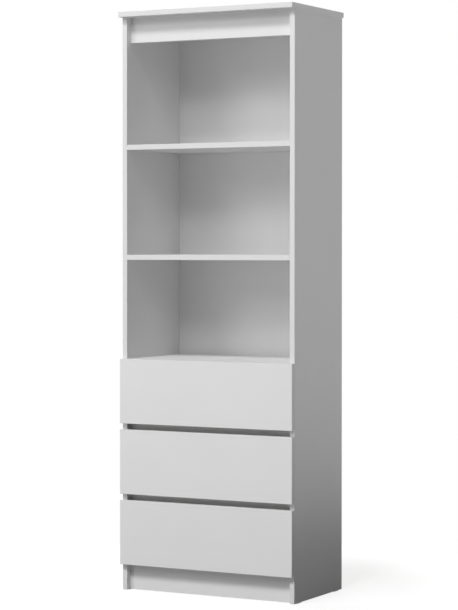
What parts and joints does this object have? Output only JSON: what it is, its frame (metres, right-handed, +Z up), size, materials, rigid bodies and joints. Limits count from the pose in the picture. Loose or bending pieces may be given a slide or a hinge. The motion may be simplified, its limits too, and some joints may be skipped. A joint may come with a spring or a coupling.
{
  "type": "bookcase with bottom drawers",
  "caption": "Tall white board bookcase with open shelf bays above full-width handleless drawers that slide on roller runners, a set-back top rail and plinth.",
  "frame": {"origin": "on the floor, in the middle of the bookcase's footprint", "axes": "+Z up, +X to the right seen from the front, +Y to the back; drawers open along -Y"},
  "size_m": [0.606, 0.355, 1.802],
  "materials": {
    "white_laminate": "matt white melamine-faced particle board",
    "white_hardboard": "white lacquered hardboard",
    "enamelled_steel": "white epoxy coat on bent sheet",
    "nylon": "moulded natural nylon",
    "zinc_casting": "die-cast zinc, as cast",
    "plated_steel": "zinc-plated steel",
    "beech": "turned beech, unfinished",
    "glide_plastic": "moulded polyethylene"
  },
  "bodies": {
    "carcass": {"left_side_panel": "white_laminate", "right_side_panel": "white_laminate", "top_panel": "white_laminate", "top_rail": "white_laminate", "upper_shelf": "white_laminate", "middle_shelf": "white_laminate", "drawer_deck": "white_laminate", "bottom_panel": "white_laminate", "plinth": "white_laminate", "upper_drawer_rail": "white_laminate", "lower_drawer_rail": "white_laminate", "back_panel": "white_hardboard", "front_left_glide": "glide_plastic", "front_right_glide": "glide_plastic", "rear_left_glide": "glide_plastic", "rear_right_glide": "glide_plastic", "cam_locks": "zinc_casting", "cam_bolts": "plated_steel", "dowels": "beech", "drawer_1_left_cabinet_runner": "enamelled_steel", "drawer_1_right_cabinet_runner": "enamelled_steel", "drawer_2_left_cabinet_runner": "enamelled_steel", "drawer_2_right_cabinet_runner": "enamelled_steel", "drawer_3_left_cabinet_runner": "enamelled_steel", "drawer_3_right_cabinet_runner": "enamelled_steel"},
    "drawer_1": {"drawer_1_front": "white_laminate", "drawer_1_left_side": "white_laminate", "drawer_1_right_side": "white_laminate", "drawer_1_back": "white_laminate", "drawer_1_bottom": "white_hardboard", "drawer_1_left_drawer_runner": "enamelled_steel", "drawer_1_right_drawer_runner": "enamelled_steel"},
    "front_rollers_1": {"drawer_1_front_rollers": "nylon"},
    "rear_rollers_1": {"drawer_1_rear_rollers": "nylon"},
    "drawer_2": {"drawer_2_front": "white_laminate", "drawer_2_left_side": "white_laminate", "drawer_2_right_side": "white_laminate", "drawer_2_back": "white_laminate", "drawer_2_bottom": "white_hardboard", "drawer_2_left_drawer_runner": "enamelled_steel", "drawer_2_right_drawer_runner": "enamelled_steel"},
    "front_rollers_2": {"drawer_2_front_rollers": "nylon"},
    "rear_rollers_2": {"drawer_2_rear_rollers": "nylon"},
    "drawer_3": {"drawer_3_front": "white_laminate", "drawer_3_left_side": "white_laminate", "drawer_3_right_side": "white_laminate", "drawer_3_back": "white_laminate", "drawer_3_bottom": "white_hardboard", "drawer_3_left_drawer_runner": "enamelled_steel", "drawer_3_right_drawer_runner": "enamelled_steel"},
    "front_rollers_3": {"drawer_3_front_rollers": "nylon"},
    "rear_rollers_3": {"drawer_3_rear_rollers": "nylon"}
  },
  "joints": [
    {"name": "drawer_1_slide", "type": "slide", "parent": "carcass", "child": "drawer_1", "axis": [0, -1, 0], "range_m": [0, 0.225]},
    {"name": "front_rollers_1_spin", "type": "hinge", "parent": "carcass", "child": "front_rollers_1", "pos_m": [0, -0.1415, 0.552], "axis": [1, 0, 0], "continuous": true},
    {"name": "rear_rollers_1_spin", "type": "hinge", "parent": "drawer_1", "child": "rear_rollers_1", "pos_m": [0, 0.13, 0.5548], "axis": [1, 0, 0], "continuous": true},
    {"name": "drawer_2_slide", "type": "slide", "parent": "carcass", "child": "drawer_2", "axis": [0, -1, 0], "range_m": [0, 0.225]},
    {"name": "front_rollers_2_spin", "type": "hinge", "parent": "carcass", "child": "front_rollers_2", "pos_m": [0, -0.1415, 0.332], "axis": [1, 0, 0], "continuous": true},
    {"name": "rear_rollers_2_spin", "type": "hinge", "parent": "drawer_2", "child": "rear_rollers_2", "pos_m": [0, 0.13, 0.3348], "axis": [1, 0, 0], "continuous": true},
    {"name": "drawer_3_slide", "type": "slide", "parent": "carcass", "child": "drawer_3", "axis": [0, -1, 0], "range_m": [0, 0.225]},
    {"name": "front_rollers_3_spin", "type": "hinge", "parent": "carcass", "child": "front_rollers_3", "pos_m": [0, -0.1415, 0.112], "axis": [1, 0, 0], "continuous": true},
    {"name": "rear_rollers_3_spin", "type": "hinge", "parent": "drawer_3", "child": "rear_rollers_3", "pos_m": [0, 0.13, 0.1148], "axis": [1, 0, 0], "continuous": true}
  ],
  "couplings": [
    {"joint": "front_rollers_1_spin", "follows": "drawer_1_slide", "rad_per_m": 100},
    {"joint": "rear_rollers_1_spin", "follows": "drawer_1_slide", "rad_per_m": 100},
    {"joint": "front_rollers_2_spin", "follows": "drawer_2_slide", "rad_per_m": 100},
    {"joint": "rear_rollers_2_spin", "follows": "drawer_2_slide", "rad_per_m": 100},
    {"joint": "front_rollers_3_spin", "follows": "drawer_3_slide", "rad_per_m": 100},
    {"joint": "rear_rollers_3_spin", "follows": "drawer_3_slide", "rad_per_m": 100}
  ]
}
